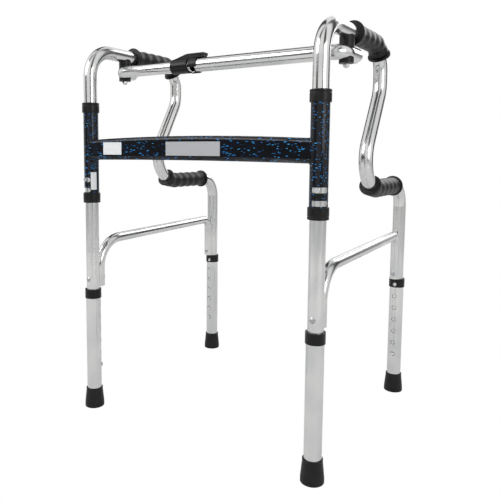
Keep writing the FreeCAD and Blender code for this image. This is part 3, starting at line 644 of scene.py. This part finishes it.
class WALKER_OT_welds(bpy.types.Operator):
    """Lays the painted weld round both ends of the cross beam"""

    bl_idname = "walker.welds"
    bl_label = "Beam welds"

    def execute(self, context):
        own = context.scene.walker
        spots, _ = walk(beam_section(), 1.5)
        for side, sign in SIDES.items():
            # the bead lies on the round of the sleeve all the way
            points = [
                (Vector((sign * (HALF_WIDTH - math.sqrt(SLEEVE_RADIUS**2 - p.y**2)),
                         FRONT + p.y, BEAM_HEIGHT + p.z)), s)
                for p, s in spots[:-1]
            ]
            # the bead's ripple: 8 % of its radius, about every 3 mm
            radii = [own.weld_radius * (1 + 0.08 * math.sin(s * 2.1)) for _, s in points]
            name = side + "_beam_weld"
            mesh = swept(name, [p for p, _ in points], radii, "fleck_paint", True, 10)
            piece(name, mesh, "fleck_paint", "h_frame")
        return {"FINISHED"}


class WALKER_OT_grips(bpy.types.Operator):
    """Builds the four waved grips along their tubes"""

    bl_idname = "walker.grips"
    bl_label = "Grips"

    def execute(self, context):
        own = context.scene.walker
        for side in SIDES:
            for which in ("top_grip", "low_grip"):
                points, length = walk(grip_path(side, which), 1.0)
                radii = grip_radii(points, length, own)
                name = f"{side}_{which}_skin"
                mesh = swept(name, [p for p, _ in points], radii, "grip_rubber", around=56)
                node = f"{side}_{which}"
                piece(name, mesh, "grip_rubber", side + "_side", node)
        return {"FINISHED"}


class WALKER_OT_feet(bpy.types.Operator):
    """Turns the four rubber feet with their ringed soles"""

    bl_idname = "walker.feet"
    bl_label = "Rubber feet"

    def execute(self, context):
        outline = foot_outline(context.scene.walker.tread_depth)
        for side, sign in SIDES.items():
            for leg, y in LEG_AXES.items():
                node = f"{side}_{leg}_foot"
                mesh = lathe(node + "_rubber", outline, (sign * HALF_WIDTH, y))
                piece(node + "_rubber", mesh, "foot_rubber", f"{side}_{leg}_leg_body", node)
        return {"FINISHED"}


def hole_shade_rims(side, leg):
    """Dark chamfered edges round a leg's six open height holes: painted shade that stands in for
    the shadow inside the holes.
    """
    rim, edge, lowest, pitch, count, steps = 4.35, 0.25, 84.0, 25.4, 6, 32
    x, y = SIDES[side] * HALF_WIDTH, LEG_AXES[leg]
    # which way the row faces: forwards on a rear leg, back and inwards on a front leg
    turn = math.radians(-SIDES[side] * 140.0 if leg == "front" else 0.0)
    path = []
    for k in range(steps):
        t = 2 * math.pi * k / steps
        across, up = rim * math.cos(t), rim * math.sin(t)
        out = -math.sqrt(LEG_RADIUS**2 - across**2)
        path.append((
            x + across * math.cos(turn) - out * math.sin(turn),
            y + across * math.sin(turn) + out * math.cos(turn),
            lowest + up,
        ))
    name = f"{side}_{leg}_hole_shade_rims"
    # dark rings of painted shade, standing in for the shadow inside the holes
    mesh = swept(name, path, [edge] * steps, "painted_hole_shade", True, 8, count, pitch)
    piece(name, mesh, "polished_tube", f"{side}_{leg}_leg_body")


class WALKER_OT_hole_shade(bpy.types.Operator):
    """Puts dark edges of painted shade round the rows of height holes in the legs"""

    bl_idname = "walker.holes"
    bl_label = "Painted hole shade"

    def execute(self, context):
        for side in SIDES:
            for leg in LEG_AXES:
                hole_shade_rims(side, leg)
        return {"FINISHED"}


# ---- stage ----


def soft_light(name, place, target, size_m, power):
    """A large area light that looks at the target."""
    data = bpy.data.lights.new(name, "AREA")
    data.shape = "SQUARE"
    data.size = size_m
    data.energy = power
    obj = bpy.data.objects.new(name, data)
    obj.location = place
    heading = Vector(target) - Vector(place)
    obj.rotation_euler = heading.to_track_quat("-Z", "Y").to_euler()
    bpy.context.scene.collection.objects.link(obj)
    return obj


def studio_world(strength):
    """White to the eye; to the metal, a pale studio with dark upright gaps in it."""
    world = bpy.context.scene.world or bpy.data.worlds.new("studio")
    bpy.context.scene.world = world
    world.use_nodes = True
    tree = Tree(world.node_tree)
    direction = tree.add("ShaderNodeTexCoord").outputs["Generated"]
    heading = tree.add("ShaderNodeSeparateXYZ", (direction,))
    x, y, z = heading.outputs
    across = tree.add("ShaderNodeMath", (y, x), operation="ARCTAN2")
    # four gaps round the room
    turn = tree.add("ShaderNodeMath", (across, 4.0, 0.9), operation="MULTIPLY_ADD")
    bands = tree.add("ShaderNodeMath", (turn,), operation="SINE")
    bright = tree.add("ShaderNodeMapRange", (bands, -0.8, -0.1, 0.04, 1.0), **SMOOTH)
    low = tree.add("ShaderNodeMapRange", (z, -0.5, 0.3, 0.6, 1.0), **SMOOTH)
    room = tree.add("ShaderNodeMath", (bright, low), operation="MULTIPLY")
    level = tree.add("ShaderNodeMath", (room, strength), operation="MULTIPLY")
    seen_by = tree.add("ShaderNodeLightPath").outputs
    shown = tree.add("ShaderNodeMath", (level, seen_by["Is Camera Ray"]), operation="MAXIMUM")
    light = tree.add("ShaderNodeBackground", {"Color": srgb("ffffff"), "Strength": shown})
    tree.add("ShaderNodeOutputWorld", {"Surface": light})


def white_floor():
    """A floor that is plain white to the camera, with no shadow, and pale to the metal."""
    mesh = bpy.data.meshes.new("floor")
    half, level = 6.0, -0.0005  # in metres, a hair under the feet
    corners = [(-half, -half), (half, -half), (half, half), (-half, half)]
    mesh.from_pydata([(x, y, level) for x, y in corners], [], [(0, 1, 2, 3)])
    obj = bpy.data.objects.new("floor", mesh)
    bpy.context.scene.collection.objects.link(obj)
    made = bpy.data.materials.new("floor")
    made.use_nodes = True
    tree = Tree(made.node_tree)
    lit = tree.add("ShaderNodeBsdfDiffuse", {"Color": srgb("e6e6e6")})
    glow = tree.add("ShaderNodeEmission", {"Color": srgb("ffffff"), "Strength": 1.0})
    seen_by = tree.add("ShaderNodeLightPath").outputs
    both = tree.add("ShaderNodeMixShader", (seen_by["Is Camera Ray"], lit, glow))
    tree.add("ShaderNodeOutputMaterial", {"Surface": both})
    mesh.materials.append(made)
    return obj


def aim_camera():
    """The camera: right of the front, at beam height, tilted slightly down."""
    az, el, roll = (math.radians(a) for a in (34.0, 5.4, 0.33))
    ahead = Vector((-math.sin(az) * math.cos(el), math.cos(az) * math.cos(el), -math.sin(el)))
    right = ahead.cross(Vector((0, 0, 1))).normalized()
    up = right.cross(ahead)
    turned = right * math.cos(roll) + up * math.sin(roll)
    up = up * math.cos(roll) - right * math.sin(roll)
    data = bpy.data.cameras.new("camera")
    data.lens, data.sensor_width = 41.0, 36.0
    data.shift_x, data.shift_y = 0.0726, -0.0896
    data.clip_end = 50
    obj = bpy.data.objects.new("camera", data)
    place = Matrix((turned, up, -ahead)).transposed().to_4x4()
    place.translation = Vector((0.5865, -1.0077, 0.5167))
    obj.matrix_world = place
    bpy.context.scene.collection.objects.link(obj)
    bpy.context.scene.camera = obj


class WALKER_OT_stage(bpy.types.Operator):
    """Sets the floor, lights, surround and camera"""

    bl_idname = "walker.stage"
    bl_label = "Stage"

    def execute(self, context):
        own = context.scene.studio
        middle = (0, 0, 0.4)
        white_floor()
        soft_light("key", (-1.4, -1.9, 1.9), middle, 1.4, own.key_power)
        soft_light("fill", (2.1, -1.0, 1.1), middle, 1.2, own.fill_power)
        soft_light("back", (0.5, 2.2, 1.8), middle, 1.6, own.back_power)
        studio_world(own.surround)
        aim_camera()
        context.scene.view_settings.view_transform = "Standard"
        return {"FINISHED"}


OPERATORS = (
    WALKER_OT_finishes,
    WALKER_OT_bushes,
    WALKER_OT_pivots,
    WALKER_OT_welds,
    WALKER_OT_grips,
    WALKER_OT_feet,
    WALKER_OT_hole_shade,
    WALKER_OT_stage,
)


class WALKER_PT_panel(bpy.types.Panel):
    """Lists the settings and the steps in their order"""

    bl_idname = "WALKER_PT_panel"
    bl_label = "Walking frame"
    bl_space_type = "VIEW_3D"
    bl_region_type = "UI"
    bl_category = "Walking frame"

    def draw(self, context):
        scene = context.scene
        for settings in (scene.walker, scene.walker_colours, scene.studio):
            for name in settings.__annotations__:
                self.layout.prop(settings, name)
        for operator in OPERATORS:
            self.layout.operator(operator.bl_idname)


CLASSES = (WalkerSettings, ColourSettings, StudioSettings, *OPERATORS, WALKER_PT_panel)


def register():
    for made in CLASSES:
        bpy.utils.register_class(made)
    bpy.types.Scene.walker = bpy.props.PointerProperty(type=WalkerSettings)
    bpy.types.Scene.walker_colours = bpy.props.PointerProperty(type=ColourSettings)
    bpy.types.Scene.studio = bpy.props.PointerProperty(type=StudioSettings)


def unregister():
    del bpy.types.Scene.studio
    del bpy.types.Scene.walker_colours
    del bpy.types.Scene.walker
    for made in reversed(CLASSES):
        bpy.utils.unregister_class(made)


def main():
    """Builds the scene by running each step in order."""
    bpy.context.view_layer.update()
    register()
    for operator in OPERATORS:
        group, name = operator.bl_idname.split(".")
        if getattr(getattr(bpy.ops, group), name)() != {"FINISHED"}:
            raise RuntimeError(operator.bl_idname + " did not finish")


if __name__ == "__main__":
    main()
